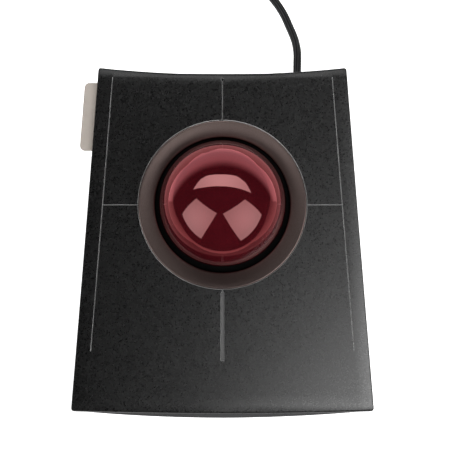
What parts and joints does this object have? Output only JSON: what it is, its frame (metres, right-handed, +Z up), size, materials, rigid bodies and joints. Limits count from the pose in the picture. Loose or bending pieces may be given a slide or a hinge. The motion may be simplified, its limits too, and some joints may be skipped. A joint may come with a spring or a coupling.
{
  "type": "trackball",
  "caption": "Desktop trackball: a large glossy ball in a dished ring, click plates in a sloping cover over an undercut case, and a lead wound into a coil with its plug.",
  "frame": {"origin": "on the desk, under the middle of the housing's outline, at the underside of the rubber feet", "axes": "+X to the user's right, +Y away from the user towards the side the cord leaves, +Z up"},
  "size_m": [0.1324, 0.2516, 0.058],
  "materials": {
    "cover_black": "satin black with a fine metallic speckle",
    "case_black": "fine-textured dark grey",
    "ring_bronze": "satin brown-grey metallic",
    "ball_red": "deep glossy red",
    "cup_black": "smooth black",
    "bearing_steel": "polished steel",
    "screw_steel": "plain steel",
    "foot_rubber": "matte",
    "board_green": "printed circuit board",
    "chip_black": "moulded package",
    "lens_clear": "clear moulded lens",
    "header_white": "off-white connector",
    "switch_black": "moulded switch case",
    "plunger_white": "moulded plunger",
    "tab_grey": "matte light warm grey",
    "cord_black": "matte black sheath",
    "tie_black": "woven hook-and-loop band",
    "plug_black": "moulded grip",
    "plug_steel": "nickel-plated shell"
  },
  "bodies": {
    "housing": {"top_cover": "cover_black", "bottom_case": "case_black", "ring_bezel": "ring_bronze", "ball_cup": "cup_black", "bearing_ball_1": "bearing_steel", "bearing_ball_2": "bearing_steel", "bearing_ball_3": "bearing_steel", "case_screw_front_left": "screw_steel", "case_screw_front_right": "screw_steel", "case_screw_rear_left": "screw_steel", "case_screw_rear_right": "screw_steel", "rubber_foot_front_left": "foot_rubber", "rubber_foot_front_right": "foot_rubber", "rubber_foot_rear_left": "foot_rubber", "rubber_foot_rear_right": "foot_rubber", "main_board": "board_green", "sensor_board_left": "board_green", "sensor_board_right": "board_green", "optical_sensor_left": "chip_black", "optical_sensor_right": "chip_black", "controller_chip": "chip_black", "sensor_lens_left": "lens_clear", "sensor_lens_right": "lens_clear", "cord_header": "header_white", "switch_lower_left": "switch_black", "switch_lower_right": "switch_black", "switch_upper_left": "switch_black", "switch_upper_right": "switch_black", "side_tab": "tab_grey", "strain_relief": "cord_black", "inner_lead": "cord_black", "cord_lead": "cord_black", "cord_coil": "cord_black", "cord_tail": "cord_black", "coil_tie": "tie_black", "usb_plug_grip": "plug_black", "usb_plug_shell": "plug_steel"},
    "trackball": {"ball": "ball_red"},
    "plate_lower_left": {"click_plate_lower_left": "cover_black"},
    "plate_lower_right": {"click_plate_lower_right": "cover_black"},
    "plate_upper_left": {"click_plate_upper_left": "cover_black"},
    "plate_upper_right": {"click_plate_upper_right": "cover_black"},
    "plunger_lower_left": {"switch_plunger_lower_left": "plunger_white"},
    "plunger_lower_right": {"switch_plunger_lower_right": "plunger_white"},
    "plunger_upper_left": {"switch_plunger_upper_left": "plunger_white"},
    "plunger_upper_right": {"switch_plunger_upper_right": "plunger_white"}
  },
  "joints": [
    {"name": "ball_roll", "type": "hinge", "parent": "housing", "child": "trackball", "pos_m": [0, 0.01625, 0.0305], "axis": [1, 0, 0], "continuous": true},
    {"name": "press_lower_left", "type": "hinge", "parent": "housing", "child": "plate_lower_left", "pos_m": [0, -0.0473, 0.01239], "axis": [1, 0, 0], "range_deg": [-0.6, 0], "stiffness_Nm_per_rad": 2.5, "springref_deg": 0.46},
    {"name": "press_lower_right", "type": "hinge", "parent": "housing", "child": "plate_lower_right", "pos_m": [0, -0.0473, 0.01239], "axis": [1, 0, 0], "range_deg": [-0.6, 0], "stiffness_Nm_per_rad": 2.5, "springref_deg": 0.46},
    {"name": "press_upper_left", "type": "hinge", "parent": "housing", "child": "plate_upper_left", "pos_m": [0, 0.0683, 0.03932], "axis": [1, 0, 0], "range_deg": [0, 0.7], "stiffness_Nm_per_rad": 2.5, "springref_deg": -0.46},
    {"name": "press_upper_right", "type": "hinge", "parent": "housing", "child": "plate_upper_right", "pos_m": [0, 0.0683, 0.03932], "axis": [1, 0, 0], "range_deg": [0, 0.7], "stiffness_Nm_per_rad": 2.5, "springref_deg": -0.46},
    {"name": "plunger_lower_left", "type": "slide", "parent": "housing", "child": "plunger_lower_left", "axis": [0, 0, -1], "range_m": [0, 0.0006]},
    {"name": "plunger_lower_right", "type": "slide", "parent": "housing", "child": "plunger_lower_right", "axis": [0, 0, -1], "range_m": [0, 0.0006]},
    {"name": "plunger_upper_left", "type": "slide", "parent": "housing", "child": "plunger_upper_left", "axis": [0, 0, -1], "range_m": [0, 0.0006]},
    {"name": "plunger_upper_right", "type": "slide", "parent": "housing", "child": "plunger_upper_right", "axis": [0, 0, -1], "range_m": [0, 0.0006]}
  ],
  "couplings": [
    {"joint": "plunger_lower_left", "follows": "press_lower_left", "m_per_rad": -0.05605},
    {"joint": "plunger_lower_right", "follows": "press_lower_right", "m_per_rad": -0.05605},
    {"joint": "plunger_upper_left", "follows": "press_upper_left", "m_per_rad": 0.04455},
    {"joint": "plunger_upper_right", "follows": "press_upper_right", "m_per_rad": 0.04455}
  ]
}
